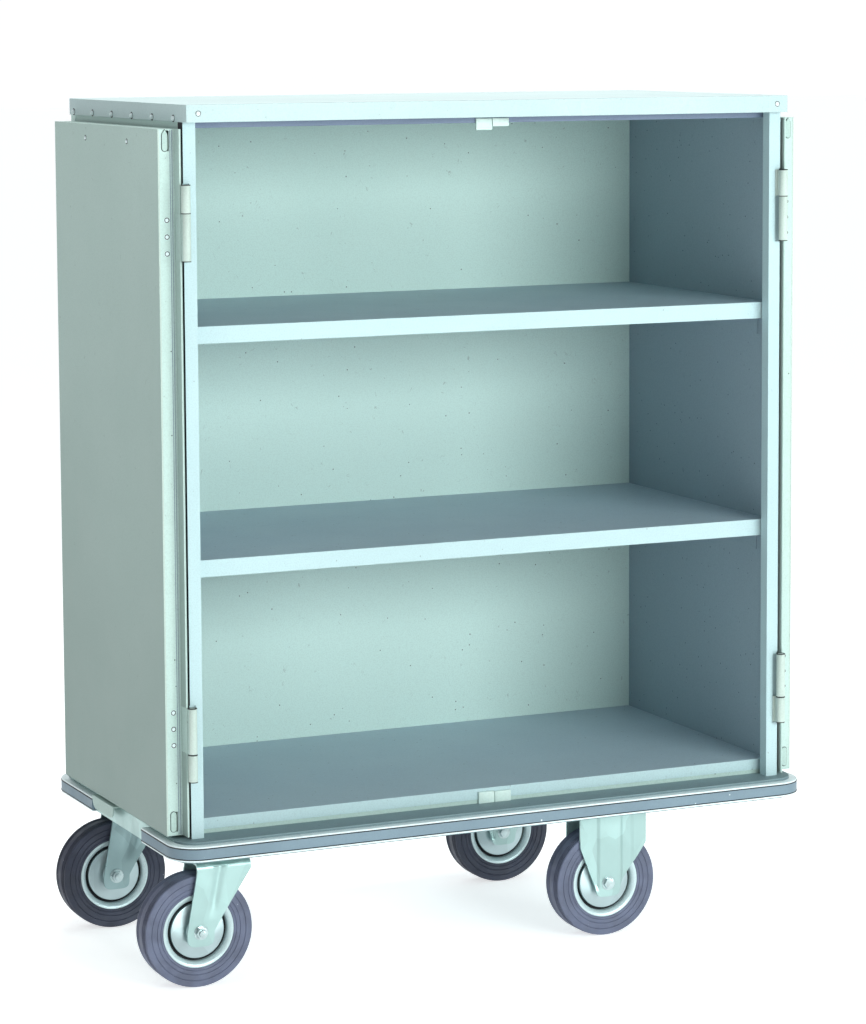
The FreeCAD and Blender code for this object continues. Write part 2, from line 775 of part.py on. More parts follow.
def make_axle(name, x, y, nut_at):
    """A through bolt with its nut at the front or at the back, and its head at the other end."""
    reach = "leg_gap+leg"
    length = f"2*({reach})+nut_high+thread_end+1"
    if nut_at == "back":
        shank_low, head_low, nut_low = f"{y}-({reach})-1", f"{y}-({reach})-head_high", f"{y}+({reach})"
    else:
        shank_low = f"{y}-({reach})-nut_high-thread_end"
        head_low, nut_low = f"{y}+({reach})", f"{y}-({reach})-nut_high"
    bolt = fuse(
        rod("axle", (x, shank_low, "wheel"), length, "y"),
        hexagon("nut", (x, head_low, "wheel"), "head_high", "y"),
    )
    nut = cut(
        hexagon("nut", (x, nut_low, "wheel"), "nut_high", "y"),
        rod("axle", (x, f"{nut_low}-1", "wheel"), "nut_high+2", "y"),
    )
    finished(group(bolt, nut), f"{name}_axle")


def leg_plate(outline, x, y_low, thick):
    """An upright plate from an outline of (along x, up) corners."""
    body = doc.addObject("PartDesign::Body", name_for("body"))
    sketch = body_sketch(body, "XZ_Plane", outline)
    pad = body.newObject("PartDesign::Pad", name_for("pad"))
    pad.Profile = sketch
    pad.Reversed = True
    bind(pad, Length=thick)
    return place(body, x, y_low, "0")


def legs(outline, x, y, tip_x):
    """Two legs of a fork, each with a round tip about the axle hole."""
    solids = []
    for low in (f"{y}-leg_gap-leg", f"{y}+leg_gap"):
        tip = rod("fork_tip", (tip_x, low, "wheel"), "leg", "y")
        solids += [leg_plate(outline, x, low, "leg"), tip]
    return solids


def bolt_places(x, y):
    """The four bolts' places in a caster's mounting plate."""
    return [(f"{x}+{i}*bolt_long", f"{y}+{j}*bolt_wide") for i in (-1, 1) for j in (-1, 1)]


def mounting_plate(x, y):
    plate = box(
        (f"{x}-plate_long/2", f"{x}+plate_long/2"),
        (f"{y}-plate_wide/2", f"{y}+plate_wide/2"),
        ("rail_low-plate", "rail_low"),
    )
    return cut(plate, *[rod("bolt_hole", (*at, "rail_low-plate-1"), "plate+2") for at in bolt_places(x, y)])


def axle_bore(x, y):
    return rod("axle", (x, f"{y}-wheel/2", "wheel"), "wheel", "y")


def king_bore(y, radius):
    return rod(radius, ("swivel_at", y, "king_low-1"), "rail_low-king_low+2")


def make_swivel_caster(name, y):
    x = "swivel_at"
    race_low = "rail_low-plate-race_high"
    race = rod("race", (x, y, race_low), "race_high")
    finished(cut(fuse(mounting_plate(x, y), race), king_bore(y, "axle")), f"{name}_top_plate")
    outline = [
        ("-fork_half", "fork_top"), ("-fork_half", "fork_shoulder"),
        ("-trail-fork_tip", "tip_steep"), ("-trail-tip_foot", "tip_low"),
        ("-trail+tip_foot", "tip_low"), ("-trail+fork_tip", "tip_slant"),
        ("fork_half", "fork_shoulder"), ("fork_half", "fork_top"),
    ]
    axle_x = f"{x}-trail"
    crown = fuse(
        cone("fork_half-3", "race+2", (x, y, "fork_low+4"), f"{race_low}-0.5-(fork_low+4)"),
        box(
            (f"{x}-fork_half", f"{x}+fork_half"),
            (f"{y}-leg_gap-leg", f"{y}+leg_gap+leg"),
            ("fork_low", "fork_top"),
        ),
    )
    solid = fuse(crown, *legs(outline, x, y, axle_x))
    finished(cut(solid, axle_bore(axle_x, y), king_bore(y, "axle+running")), f"{name}_fork")
    make_axle(name, axle_x, y, "front")
    make_wheel(name, axle_x, y)
    pin = rod("axle", (x, y, "king_low"), "rail_low-king_low")
    return fuse(pin, hexagon("king_head", (x, y, "king_low"), "king_head_high"))


def make_fixed_caster(name, y):
    centre = "fixed_at+bracket_shift"
    top = "rail_low-plate"
    outline = [
        ("-bracket_half", top), ("-bracket_half", "bracket_shoulder_left"),
        ("-bracket_shift-fork_tip", "tip_slant"), ("-bracket_shift-tip_foot", "tip_low"),
        ("-bracket_shift+tip_foot", "tip_low"), ("-bracket_shift+fork_tip", "tip_slant"),
        ("bracket_half", "bracket_shoulder_right"), ("bracket_half", top),
    ]
    solid = fuse(mounting_plate(centre, y), *legs(outline, centre, y, "fixed_at"))
    finished(cut(solid, axle_bore("fixed_at", y)), f"{name}_bracket")
    make_axle(name, "fixed_at", y, "back")
    make_wheel(name, "fixed_at", y)


def make_casters():
    rows = {"front": "-track", "rear": "track"}
    kingpins = [make_swivel_caster(f"{row}_swivel", y) for row, y in rows.items()]
    finished(group(*kingpins), "kingpins")
    bolts = []
    for row, y in rows.items():
        make_fixed_caster(f"{row}_fixed", y)
        for at in bolt_places("swivel_at", y) + bolt_places("(fixed_at+bracket_shift)", y):
            head = hexagon("bolt_head", (*at, "rail_low-plate-bolt_head_high"), "bolt_head_high")
            shank = rod("bolt", (*at, "rail_low-plate-1"), "plate+1")
            bolts.append(fuse(head, shank))
    finished(group(*bolts), "caster_bolts")


# ---------------------------------------------------------------- everything
make_deck()
make_bumper()
make_end_bracket()
make_posts()
make_panels()
make_floor_and_shelves()
make_shelf_angles()
make_header()
make_lid()
make_catches()
for side_name in SIDES:
    make_door(side_name)
    make_hinges(side_name)
make_latch()
make_casters()
doc.recompute()

for item in doc.Objects:
    if "Invalid" in item.State or "Error" in item.State:
        raise RuntimeError(f"{item.Name} ({item.Label}) failed: {item.State}")
for item in parts:
    if item.Shape.isNull() or not item.Shape.isValid() or not item.Shape.Solids:
        raise RuntimeError(f"{item.Label} has no valid shape")

os.makedirs("parts", exist_ok=True)
for item in parts:
    item.Shape.exportStep(f"parts/{item.Label}.step")
    print(f"{item.Label}: {len(item.Shape.Solids)} solids, {item.Shape.Volume / 1000:.1f} cm3")
print(f"{len(parts)} sub-parts")
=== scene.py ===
import json
import math

import bmesh
import bpy
from mathutils import Matrix, Vector


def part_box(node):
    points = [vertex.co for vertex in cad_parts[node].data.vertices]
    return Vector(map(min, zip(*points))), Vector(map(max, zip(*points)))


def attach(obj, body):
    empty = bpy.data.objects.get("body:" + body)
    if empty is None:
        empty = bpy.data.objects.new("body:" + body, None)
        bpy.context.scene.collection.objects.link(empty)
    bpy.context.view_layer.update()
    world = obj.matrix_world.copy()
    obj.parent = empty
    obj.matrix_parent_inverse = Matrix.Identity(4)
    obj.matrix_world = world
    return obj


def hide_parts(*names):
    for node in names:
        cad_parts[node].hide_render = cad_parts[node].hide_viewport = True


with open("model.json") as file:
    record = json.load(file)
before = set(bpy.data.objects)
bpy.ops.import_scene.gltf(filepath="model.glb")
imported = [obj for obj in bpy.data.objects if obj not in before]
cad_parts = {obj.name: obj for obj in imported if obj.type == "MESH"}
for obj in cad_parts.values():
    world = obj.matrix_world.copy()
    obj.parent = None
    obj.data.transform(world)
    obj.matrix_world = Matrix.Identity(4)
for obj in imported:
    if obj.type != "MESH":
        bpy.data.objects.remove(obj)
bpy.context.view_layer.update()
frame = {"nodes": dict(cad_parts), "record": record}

# The cart's looks, in the frame's own axes: +X right, +Y back, +Z up. Positions are in metres,
# and the outlines and sizes that a piece is made from are in mm.

MM = 0.001
NODES = frame["nodes"]
RECORD = frame["record"]
BODY_OF = {node: body for body, nodes in RECORD["behaviour"]["bodies"].items() for node in nodes}
SLOT_OF = {part["node"]: part["material_slot"] for part in RECORD["subparts"]}


# ---------------------------------------------------------------- materials
class Shader:
    """A Principled material that is built up node by node."""

    def __init__(self, name, **inputs):
        self.material = bpy.data.materials.new(name)
        self.material.use_nodes = True
        self.nodes = self.material.node_tree.nodes
        self.links = self.material.node_tree.links
        self.surface = self.nodes["Principled BSDF"]
        self.place = self.nodes.new("ShaderNodeTexCoord").outputs["Object"]
        self.height = None
        for key, value in inputs.items():
            self.surface.inputs[key.replace("_", " ")].default_value = value

    def stretched(self, scale):
        """Object coordinates, scaled along each axis; below 1 draws a pattern out."""
        mapping = self.nodes.new("ShaderNodeMapping")
        mapping.inputs["Scale"].default_value = scale
        self.links.new(self.place, mapping.inputs["Vector"])
        return mapping.outputs["Vector"]

    def noise(self, scale, detail=3.0, stretch=(1, 1, 1), distortion=0.0):
        node = self.nodes.new("ShaderNodeTexNoise")
        node.inputs["Scale"].default_value = scale
        node.inputs["Detail"].default_value = detail
        node.inputs["Distortion"].default_value = distortion
        self.links.new(self.stretched(stretch), node.inputs["Vector"])
        return node.outputs["Fac"]

    def up(self):
        """Height above the floor, in metres, with every part at rest."""
        parts = self.nodes.new("ShaderNodeSeparateXYZ")
        self.links.new(self.place, parts.inputs[0])
        return parts.outputs["Z"]

    def cells(self, scale, stretch=(1, 1, 1)):
        node = self.nodes.new("ShaderNodeTexVoronoi")
        node.inputs["Scale"].default_value = scale
        self.links.new(self.stretched(stretch), node.inputs["Vector"])
        return node.outputs["Distance"], node.outputs["Color"]

    def between(self, value, low, high, to_low=0.0, to_high=1.0):
        """A soft step from to_low, where the value is low, to to_high, where it is high."""
        node = self.nodes.new("ShaderNodeMapRange")
        node.interpolation_type = "SMOOTHSTEP"
        ends = {"From Min": low, "From Max": high, "To Min": to_low, "To Max": to_high}
        for key, number in ends.items():
            node.inputs[key].default_value = number
        self.links.new(value, node.inputs["Value"])
        return node.outputs["Result"]

    def times(self, a, b):
        node = self.nodes.new("ShaderNodeMath")
        node.operation = "MULTIPLY"
        for value, socket in zip((a, b), node.inputs):
            if isinstance(value, (int, float)):
                socket.default_value = value
            else:
                self.links.new(value, socket)
        return node.outputs[0]

    def mix(self, share, a, b):
        node = self.nodes.new("ShaderNodeMix")
        node.data_type = "RGBA"
        self.links.new(share, node.inputs["Factor"])
        for value, socket in ((a, node.inputs[6]), (b, node.inputs[7])):
            if isinstance(value, tuple):
                socket.default_value = (*value, 1)
            else:
                self.links.new(value, socket)
        return node.outputs[2]

    def specks(self, per_metre, share, size):
        """Small round marks: a share of the cells have one, of a size given in cells."""
        distance, colour = self.cells(per_metre)
        red = self.nodes.new("ShaderNodeSeparateColor")
        self.links.new(colour, red.inputs[0])
        chosen = self.between(red.outputs[0], 1 - share, 1 - share * 0.9)
        return self.times(chosen, self.between(distance, size, size * 0.5))

    def scratches(self, scale, share):
        """Short hair-like marks, each bent its own way: where a noise crosses its middle value."""
        line = self.noise(scale, 0.0, (1, 1, 0.6), 1.2)
        middle, half = 0.5, 0.016
        above = self.between(line, middle + half, middle)
        thin = self.times(self.between(line, middle - half, middle), above)
        kept = self.between(self.noise(scale * 0.8, 0.0), 1 - share, 1.015 - share)
        return self.times(thin, kept)

    def colour(self, socket):
        self.links.new(socket, self.surface.inputs["Base Color"])

    def roughness(self, socket):
        self.links.new(socket, self.surface.inputs["Roughness"])

    def bump(self, height, distance, strength=1.0):
        node = self.nodes.new("ShaderNodeBump")
        node.inputs["Distance"].default_value = distance
        node.inputs["Strength"].default_value = strength
        self.links.new(height, node.inputs["Height"])
        if self.height is not None:
            self.links.new(self.height, node.inputs["Normal"])
        self.height = node.outputs["Normal"]
        self.links.new(self.height, self.surface.inputs["Normal"])


def darker(colour, share):
    return tuple(channel * share for channel in colour)


def sheet_metal(name, colour, rough=0.55, metallic=0.0, marks=1.0, darken_low=0.0):
    """Coated aluminium sheet: soft blotches, fine grain, pin marks, hairs, and darker towards the bottom if
    asked.
    """
    shader = Shader(name, Metallic=metallic)
    shader.surface.inputs["Specular IOR Level"].default_value = 0.3
    blotches = shader.between(shader.noise(1.8, 1.0), 0.3, 0.7)
    base = shader.mix(blotches, darker(colour, 0.93), colour)
    grain = shader.between(shader.noise(420, 2.0), 0.35, 0.75, 0, 0.3)
    base = shader.mix(grain, base, darker(colour, 0.66))
    pin_marks = shader.times(shader.specks(62, 0.26, 0.10), 0.95 * marks)
    base = shader.mix(pin_marks, base, darker(colour, 0.12))
    hairs = shader.times(shader.scratches(85, 0.29), 0.5 * marks)
    base = shader.mix(hairs, base, darker(colour, 0.3))
    # Darker towards the bottom.
    if darken_low:
        low_down = shader.between(shader.up(), 0.2, 1.7, darken_low, 0.0)
        base = shader.mix(low_down, base, darker(colour, 0.5))
    shader.colour(base)
    shader.roughness(shader.between(shader.noise(9), 0.3, 0.7, rough - 0.03, rough + 0.05))
    shader.bump(shader.noise(900, 2.0), 0.00006, 0.3)
    return shader.material


def zinc(name, colour, rough, metallic, spangle):
    """Zinc-plated steel: spangle (cells a metre), dull patches, pin marks and brushed streaks."""
    shader = Shader(name, Metallic=metallic)
    grey = shader.nodes.new("ShaderNodeRGBToBW")
    shader.links.new(shader.cells(spangle, (1, 1, 0.6))[1], grey.inputs[0])
    base = shader.mix(shader.between(grey.outputs[0], 0.1, 0.9), darker(colour, 0.86), colour)
    dull = shader.between(shader.noise(14), 0.45, 0.75, 0, 0.35)
    base = shader.mix(dull, base, darker(colour, 0.74))
    pin_marks = shader.times(shader.specks(70, 0.14, 0.08), 0.7)
    base = shader.mix(pin_marks, base, darker(colour, 0.2))
    shader.colour(base)
    shader.roughness(shader.between(shader.noise(26), 0.3, 0.7, rough - 0.06, rough + 0.12))
    streaks = shader.noise(240, 2.0, (1, 1, 0.25))
    shader.bump(streaks, 0.00012, 0.25)
    return shader.material


def moulded(name, colour, rough, chips=0.0):
    """Moulded rubber or plastic, with a fine grain, and pale chips where it gets knocked."""
    shader = Shader(name)
    blotches = shader.between(shader.noise(5), 0.3, 0.7)
    base = shader.mix(blotches, darker(colour, 0.88), colour)
    grain = shader.between(shader.noise(300, 2.0), 0.4, 0.8, 0, 0.25)
    base = shader.mix(grain, base, darker(colour, 0.7))
    if chips:
        pale = (0.8, 0.85, 0.86)
        base = shader.mix(shader.times(shader.specks(70, 0.10, 0.14), chips), base, pale)
    shader.colour(base)
    shader.roughness(shader.between(shader.noise(22), 0.3, 0.7, rough - 0.06, rough + 0.1))
    shader.bump(shader.noise(900, 3.0), 0.00008, 0.35)
    return shader.material


def tyre_rubber(name, colour):
    """Rubber with worn pale patches and grit in it."""
    shader = Shader(name)
    blotches = shader.between(shader.noise(26, 4.0), 0.3, 0.7)
    base = shader.mix(blotches, darker(colour, 0.72), colour)
    worn = shader.between(shader.noise(8, 2.0), 0.5, 0.8, 0, 0.4)
    base = shader.mix(worn, base, darker(colour, 1.7))
    grit = shader.times(shader.specks(90, 0.06, 0.1), 0.8)
    base = shader.mix(grit, base, (0.5, 0.52, 0.56))
    shader.colour(base)
    shader.roughness(shader.between(shader.noise(40), 0.3, 0.7, 0.52, 0.72))
    shader.bump(shader.noise(520, 3.0), 0.00015, 0.4)
    return shader.material


def turned_zinc(name, colour):
    """Zinc with the round sheen of a disc that was turned about its axle."""
    material = zinc(name, colour, 0.34, 0.9, 12)
    tree = material.node_tree
    turned = tree.nodes.new("ShaderNodeTangent")
    turned.direction_type = "RADIAL"
    turned.axis = "Y"
    surface = tree.nodes["Principled BSDF"]
    surface.inputs["Anisotropic"].default_value = 0.8
    tree.links.new(turned.outputs[0], surface.inputs["Tangent"])
    return material


# One coat for each of the record's slots, then coats for single pieces or faces.
MATERIALS = {
    "tyre_rubber": tyre_rubber("tyre_rubber", (0.125, 0.140, 0.215)),
    "wheel_zinc": zinc("wheel_zinc", (0.50, 0.62, 0.66), 0.26, 0.9, 12),
    "caster_zinc": zinc("caster_zinc", (0.42, 0.59, 0.575), 0.34, 0.7, 26),
    "bolt_zinc": zinc("bolt_zinc", (0.55, 0.66, 0.67), 0.26, 0.9, 120),
    "bumper_grey": moulded("bumper_grey", (0.19, 0.27, 0.33), 0.5, 0.9),
    "deck_grey": sheet_metal("deck_grey", (0.225, 0.315, 0.34)),
    "catch_white": moulded("catch_white", (0.62, 0.76, 0.72), 0.45),
    "dish_black": moulded("dish_black", (0.03, 0.03, 0.035), 0.45),
    "latch_zinc": zinc("latch_zinc", (0.55, 0.58, 0.58), 0.28, 0.9, 60),
    "hinge_grey": sheet_metal("hinge_grey", (0.54, 0.64, 0.59), 0.4, 0.0, 0.4),
    "rivet_bright": sheet_metal("rivet_bright", (0.78, 0.88, 0.88), 0.3, 0.0, 0.1),
    "post_silver": sheet_metal("post_silver", (0.50, 0.66, 0.69), 0.5, 0.0, 0.5),
    "door_sheet": sheet_metal("door_sheet", (0.47, 0.61, 0.57)),
    "panel_sheet": sheet_metal("panel_sheet", (0.60, 0.77, 0.73)),
}
# Painted shade: a darker, bluer copy of the sheet for the shelves' and the cabinet floor's tops.
SHELF_SHADE = sheet_metal("shelf_painted_shade", (0.46, 0.57, 0.64), 0.5)
# Painted shade: a darker, bluer copy of the sheet for the side walls' insides and the shelf angles.
WALL_SHADE = sheet_metal("wall_painted_shade", (0.30, 0.39, 0.45), 0.5)
# Painted shade: a much darker copy of the rubber for the rear tyres, which stand in the cart's shadow.
SHADED_RUBBER = tyre_rubber("tyre_rubber_painted_shade", (0.042, 0.048, 0.078))
LID_SHEET = sheet_metal("lid_sheet", (0.47, 0.61, 0.62), 0.3, 0.0, 0.3)
# Painted shade: a dark blue-grey for the header rail under the lid's overhang, and for fine fold lines.
HEADER_SHADE = sheet_metal("header_painted_shade", (0.18, 0.23, 0.33), 0.5, 0.0, 0.5)
# Painted light: a lighter copy of the lid's sheet for its top, where the light falls.
LID_TOP_LIT = sheet_metal("lid_top", (0.66, 0.82, 0.82), 0.4, 0.0, 0.2)
# The doors' outer faces: darker towards the bottom.
DOOR_FACE = sheet_metal("door_face", (0.47, 0.61, 0.57), darken_low=0.75)
# Painted light: a lighter copy of the door sheet for the hinge strips' faces to the front.
STRIP_LIT = sheet_metal("strip_painted_light", (0.55, 0.70, 0.66))
# Painted shade: a darker copy of the caster zinc for the rear forks, which stand in shadow.
SHADED_ZINC = zinc("zinc_painted_shade", (0.30, 0.42, 0.43), 0.36, 0.7, 26)
BAND_ZINC = sheet_metal("band_zinc", (0.60, 0.73, 0.75), 0.34, 0.35, 0.2)
# White: bright trim on the bumper's lips, and a painted highlight on the rivet and screw heads.
BRIGHT_TRIM_AND_HIGHLIGHT = sheet_metal("trim_and_painted_highlight", (0.82, 0.93, 0.95), 0.3, 0.0, 0.1)
DISC_ZINC = turned_zinc("disc_zinc", (0.52, 0.64, 0.66))
# Painted shade: near-black for the posts' outer faces, where the gap beside a door lies in shade.
GAP_SHADE = moulded("gap_painted_shade", (0.012, 0.014, 0.022), 0.7)
# Painted shade: near-black for the shade in grooves, gaps and seams.
SHADE_BLACK = moulded("painted_shade_black", (0.006, 0.006, 0.010), 0.6)


def material_of(node):
    return MATERIALS[SLOT_OF[node]]


for node_name, node_object in NODES.items():
    node_object.data.materials.clear()
    node_object.data.materials.append(material_of(node_name))


# ---------------------------------------------------------------- building pieces
def add(name, bm, body, material, smooth=True):
    """A new piece from a bmesh, riding on a body."""
    mesh = bpy.data.meshes.new(name)
    bmesh.ops.recalc_face_normals(bm, faces=bm.faces)
    bm.to_mesh(mesh)
    bm.free()
    for face in mesh.polygons:
        face.use_smooth = smooth
    mesh.materials.append(material)
    piece = bpy.data.objects.new(name, mesh)
    bpy.context.scene.collection.objects.link(piece)
    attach(piece, body)
    return piece


def rounded_edges(piece, width, segments=2, angle=30):
    """Rounds every edge sharper than an angle in degrees."""
    bevel = piece.modifiers.new("rounded", "BEVEL")
    bevel.width = width
    bevel.segments = segments
    bevel.limit_method = "ANGLE"
    bevel.angle_limit = math.radians(angle)
    bevel.harden_normals = True
    return piece


JOIN = 0.01 * MM  # corners nearer than this are one
FLAT_AREA = 0.002  # faces above this, in square metres, are flat sheet


def joined_mesh(node):
    """The CAD node's mesh, with the corners that its faces share made one."""
    bm = bmesh.new()
    bm.from_mesh(NODES[node].data)
    bmesh.ops.remove_doubles(bm, verts=bm.verts, dist=JOIN)
    return bm


def refined(node, width, material=None):
    """The node's own shape with its sheet edges rounded, in place of the sharp one."""
    bm = joined_mesh(node)
    bmesh.ops.dissolve_limit(bm, angle_limit=math.radians(0.5), verts=bm.verts, edges=bm.edges)
    piece = add(f"{node}_piece", bm, BODY_OF[node], material or material_of(node))
    for face in piece.data.polygons:
        face.use_smooth = face.area < FLAT_AREA
    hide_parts(node)
    return rounded_edges(piece, width)


def coat_faces(node, material, chosen):
    """Another coat on those faces of a refined piece that are chosen by centre and normal."""
    piece = bpy.data.objects[f"{node}_piece"]
    piece.data.materials.append(material)
    for face in piece.data.polygons:
        if chosen(face.center, face.normal):
            face.material_index = len(piece.data.materials) - 1


def islands(node):
    """The lowest and highest corners of each separate solid in a node."""
    bm = joined_mesh(node)
    unseen = set(bm.verts)
    found = []
    while unseen:
        group, waiting = [], [unseen.pop()]
        while waiting:
            vert = waiting.pop()
            group.append(vert.co.copy())
            for edge in vert.link_edges:
                other = edge.other_vert(vert)
                if other in unseen:
                    unseen.remove(other)
                    waiting.append(other)
        low = Vector([min(co[i] for co in group) for i in range(3)])
        high = Vector([max(co[i] for co in group) for i in range(3)])
        found.append((low, high))
    bm.free()
    return sorted(found, key=lambda pair: tuple(round(value, 5) for value in pair[0]))


def middle_of(node):
    low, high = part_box(node)
    return (low + high) / 2


def arc(centre, radius, start, end, steps):
    """Points on a circle between two angles in degrees."""
    x, y = centre
    turns = [math.radians(start + (end - start) * i / steps) for i in range(steps + 1)]
    return [(x + radius * math.cos(turn), y + radius * math.sin(turn)) for turn in turns]


def lathe(bm, outline, centre, axis, segments=96, closed=False):
    """Turns an outline of (along the axis, radius) points, in mm, about an axis through centre.

    A closed outline makes a ring; an open one is capped at both ends.
    """
    turn = Vector((0, 0, 1)).rotation_difference(Vector(axis)).to_matrix()
    rings = []
    for along, radius in outline:
        ring = []
        for i in range(segments):
            angle = 2 * math.pi * i / segments
            spot = Vector((radius * math.cos(angle), radius * math.sin(angle), along)) * MM
            ring.append(bm.verts.new(centre + turn @ spot))
        rings.append(ring)
    pairs = list(zip(rings, rings[1:]))
    if closed:
        pairs.append((rings[-1], rings[0]))
    for near, far in pairs:
        for i in range(segments):
            j = (i + 1) % segments
            bm.faces.new((near[i], near[j], far[j], far[i]))
    if not closed:
        bm.faces.new(rings[0])
        bm.faces.new(rings[-1])


def mirrored(half):
    """A whole outline from its half, the other half on the other side of the wheel."""
    return half + [(-along, radius) for along, radius in reversed(half)]


# ---------------------------------------------------------------- wheels
ALONG = (0, 1, 0)  # the wheels' axles lie front to back
TYRE_R = 100
TYRE_HALF = 25
TREAD_GROOVES = (20.6, 15.8, 10.8)  # each groove's outer edge, from the tyre's middle
GROOVE_WIDE = 2.5
GROOVE_DEEP = 4.6


def tyre_outline():
    """Bead, two sidewall rings, a tight shoulder and a tread with three grooves a side."""
    half = [(20, 60.2), (20.4, 65.0), (22.4, 66.0)]
    half += [(23.0, 69.5), (21.9, 70.3), (23.1, 71.1), (23.9, 76.4), (22.8, 77.3), (24.1, 78.2)]
    half += [(24.6, 86.6), (23.5, 87.5), (24.8, 88.4), (TYRE_HALF, 95.6)]
    half += arc((22.2, 96.6), 2.8, 0, 62, 5)
    floor = TYRE_R - GROOVE_DEEP
    for edge in TREAD_GROOVES:
        half += [(edge, TYRE_R - 0.6), (edge - 0.3, floor)]
        half += [(edge - GROOVE_WIDE + 0.3, floor), (edge - GROOVE_WIDE, TYRE_R - 0.2)]
    return half + [(6, TYRE_R - 0.05), (2, TYRE_R)]


def rim_outline():
    """Rolled edge and a sloping bright band that drops into the groove round the disc."""
    half = [(20.2, 60.1), (20.2, 64.8)] + arc((21.4, 64.6), 0.9, 150, -10, 5)
    return half + [(21.7, 61.5), (20.4, 59.0), (18.4, 56.6), (16.2, 55.2), (13.4, 54.8)]


def disc_outline():
    """The disc on one side: a lip by the groove, a shallow cone and the hub's flange."""
    return [
        (9.5, 49.6), (15.2, 49.6), (16.2, 49.0), (16.6, 47.8), (17.2, 30.0), (18.2, 21.5),
        (21.5, 19.5), (22.5, 17.5), (29.2, 15.5), (29.5, 14.5), (29.5, 7.0),
    ]


def make_wheel(name):
    """Tyre, steel band, disc and a near-black ring of painted shade in the groove between band and disc,
    each a closed ring.
    """
    tyre, rim = f"{name}_tyre", f"{name}_rim"
    body = BODY_OF[tyre]
    centre = middle_of(tyre)
    bm = bmesh.new()
    lathe(bm, mirrored(tyre_outline()), centre, ALONG, 160, True)
    # Painted shade: the rear tyres get the darker rubber.
    rubber = SHADED_RUBBER if name.startswith("rear") else MATERIALS["tyre_rubber"]
    tread = add(f"{name}_tyre_piece", bm, body, rubber)
    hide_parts(tyre)
    rounded_edges(tread, 0.35 * MM, 2, 34)
    bm = bmesh.new()
    lathe(bm, mirrored(rim_outline()), centre, ALONG, 128, True)
    band = add(f"{name}_rim_band", bm, body, BAND_ZINC)
    bm = bmesh.new()
    lathe(bm, mirrored(disc_outline()), centre, ALONG, 128, True)
    disc = add(f"{name}_rim_disc", bm, body, DISC_ZINC)
    # Painted shade: a near-black ring deep in the groove round the disc.
    bm = bmesh.new()
    lathe(bm, mirrored([(9.0, 49.4), (9.0, 55.2)]), centre, ALONG, 96, True)
    groove = add(f"{name}_rim_groove", bm, body, SHADE_BLACK)
    for piece in (band, disc, groove):
        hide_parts(rim)
    for piece in (band, disc):
        rounded_edges(piece, 0.3 * MM, 2, 40)


# ---------------------------------------------------------------- caster legs
LEG = 4  # sheet thickness
LEG_IN = 30  # from the wheel's middle to a leg's inner face
PRESS = 4  # how deep a leg's pressing goes
AXLE_UP = 100
TIP = 25  # half the width of a leg at the axle
TIP_SQUARE = 4.2  # 2 would make the tip round
FORK_SHOULDER = 206  # where a fork's leg reaches its full width
FORK_CROWN = 220
FLARE_START = 95  # where a bracket's leg starts to widen
FLARE = 74  # the height over which it widens
SPREAD = 42  # how much wider it gets, on each side


def smooth(value):
    """A soft step from 0 to 1."""
    value = min(max(value, 0.0), 1.0)
    return value * value * (3 - 2 * value)


def tip_half(height):
    """Half the width of a leg's tip, a square with well rounded corners, at a height."""
    down = min(max((AXLE_UP - height) / TIP, 0.0), 1.0)
    return TIP * (1 - down**TIP_SQUARE) ** (1 / TIP_SQUARE)


def swivel_limits(height, trail):
    """A fork leg's front and back edges, along X from the kingpin, at a height above the floor."""
    if height < AXLE_UP:
        half = tip_half(height)
        return -trail - half, -trail + half
    up = min((height - AXLE_UP) / (FORK_SHOULDER - AXLE_UP), 1.0)
    return -trail - TIP + (trail - TIP) * up, -trail + TIP + (trail + TIP) * up**1.05


def fixed_limits(height, shift):
    """A fixed bracket's leg edges, along X from its centre, at a height above the floor."""
    if height < FLARE_START:
        half = tip_half(height)
        return -shift - half, -shift + half
    up = min((height - FLARE_START) / FLARE, 1.0)
    return -shift - TIP + (shift - SPREAD) * up, -shift + TIP + (SPREAD + shift) * up


def swivel_press(x, height):
    """How far a fork leg is pressed in: one soft valley that slants down its upper part."""
    middle = -8 - (FORK_SHOULDER - height) * 0.20
    valley = math.exp(-(((x - middle) / 9.0) ** 2))
    return PRESS * valley * smooth((height - 118) / 45)


def fixed_press(x, height, shift):
    """A bracket leg's flanks are pressed in, on both sides of a flat band down its middle."""
    left = smooth((-shift - 15 - x) / 7)
    right_step = smooth((x - (-shift + 24)) / 8)
    outer_step = smooth((x - (-shift + 48)) / 8)
    right = right_step * (1 - 0.55 * outer_step)
    return PRESS * max(left, right) * smooth((height - 84) / 16)


def leg_sheet(bm, rows, columns, spot, limits, press):
    """One bent sheet: rows of (side, height) from tip to top, or over the crown to the other tip.

    Only the parts of a row's sheet that stand upright, well away from the middle, are pressed.
    """
    grid = []
    for side, height in rows:
        left, right = limits(height)
        line = []
        for i in range(columns + 1):
            x = left + (right - left) * i / columns
            inward = press(x, height)
            depth = side - math.copysign(inward, side) if abs(side) > LEG_IN - 2 else side
            line.append(bm.verts.new(spot + Vector((x, depth, height)) * MM))
        grid.append(line)
    for near, far in zip(grid, grid[1:]):
        for i in range(columns):
            bm.faces.new((near[i], near[i + 1], far[i + 1], far[i]))


def thickened(piece, thickness):
    solid = piece.modifiers.new("sheet", "SOLIDIFY")
    solid.thickness = thickness * MM
    solid.offset = 0
    solid.use_even_offset = True
    return rounded_edges(piece, 0.6 * MM, 2, 50)


def tip_heights(top):
    """Heights from a leg's tip upwards, close together where the tip is round."""
    tip_steps, steps = 12, 44
    lowest = AXLE_UP - TIP
    turns = [math.pi / 2 * i / tip_steps for i in range(tip_steps + 1)]
    near_tip = [lowest + TIP * (1 - math.cos(turn)) for turn in turns]
    return near_tip + [AXLE_UP + (top - AXLE_UP) * i / steps for i in range(1, steps + 1)]


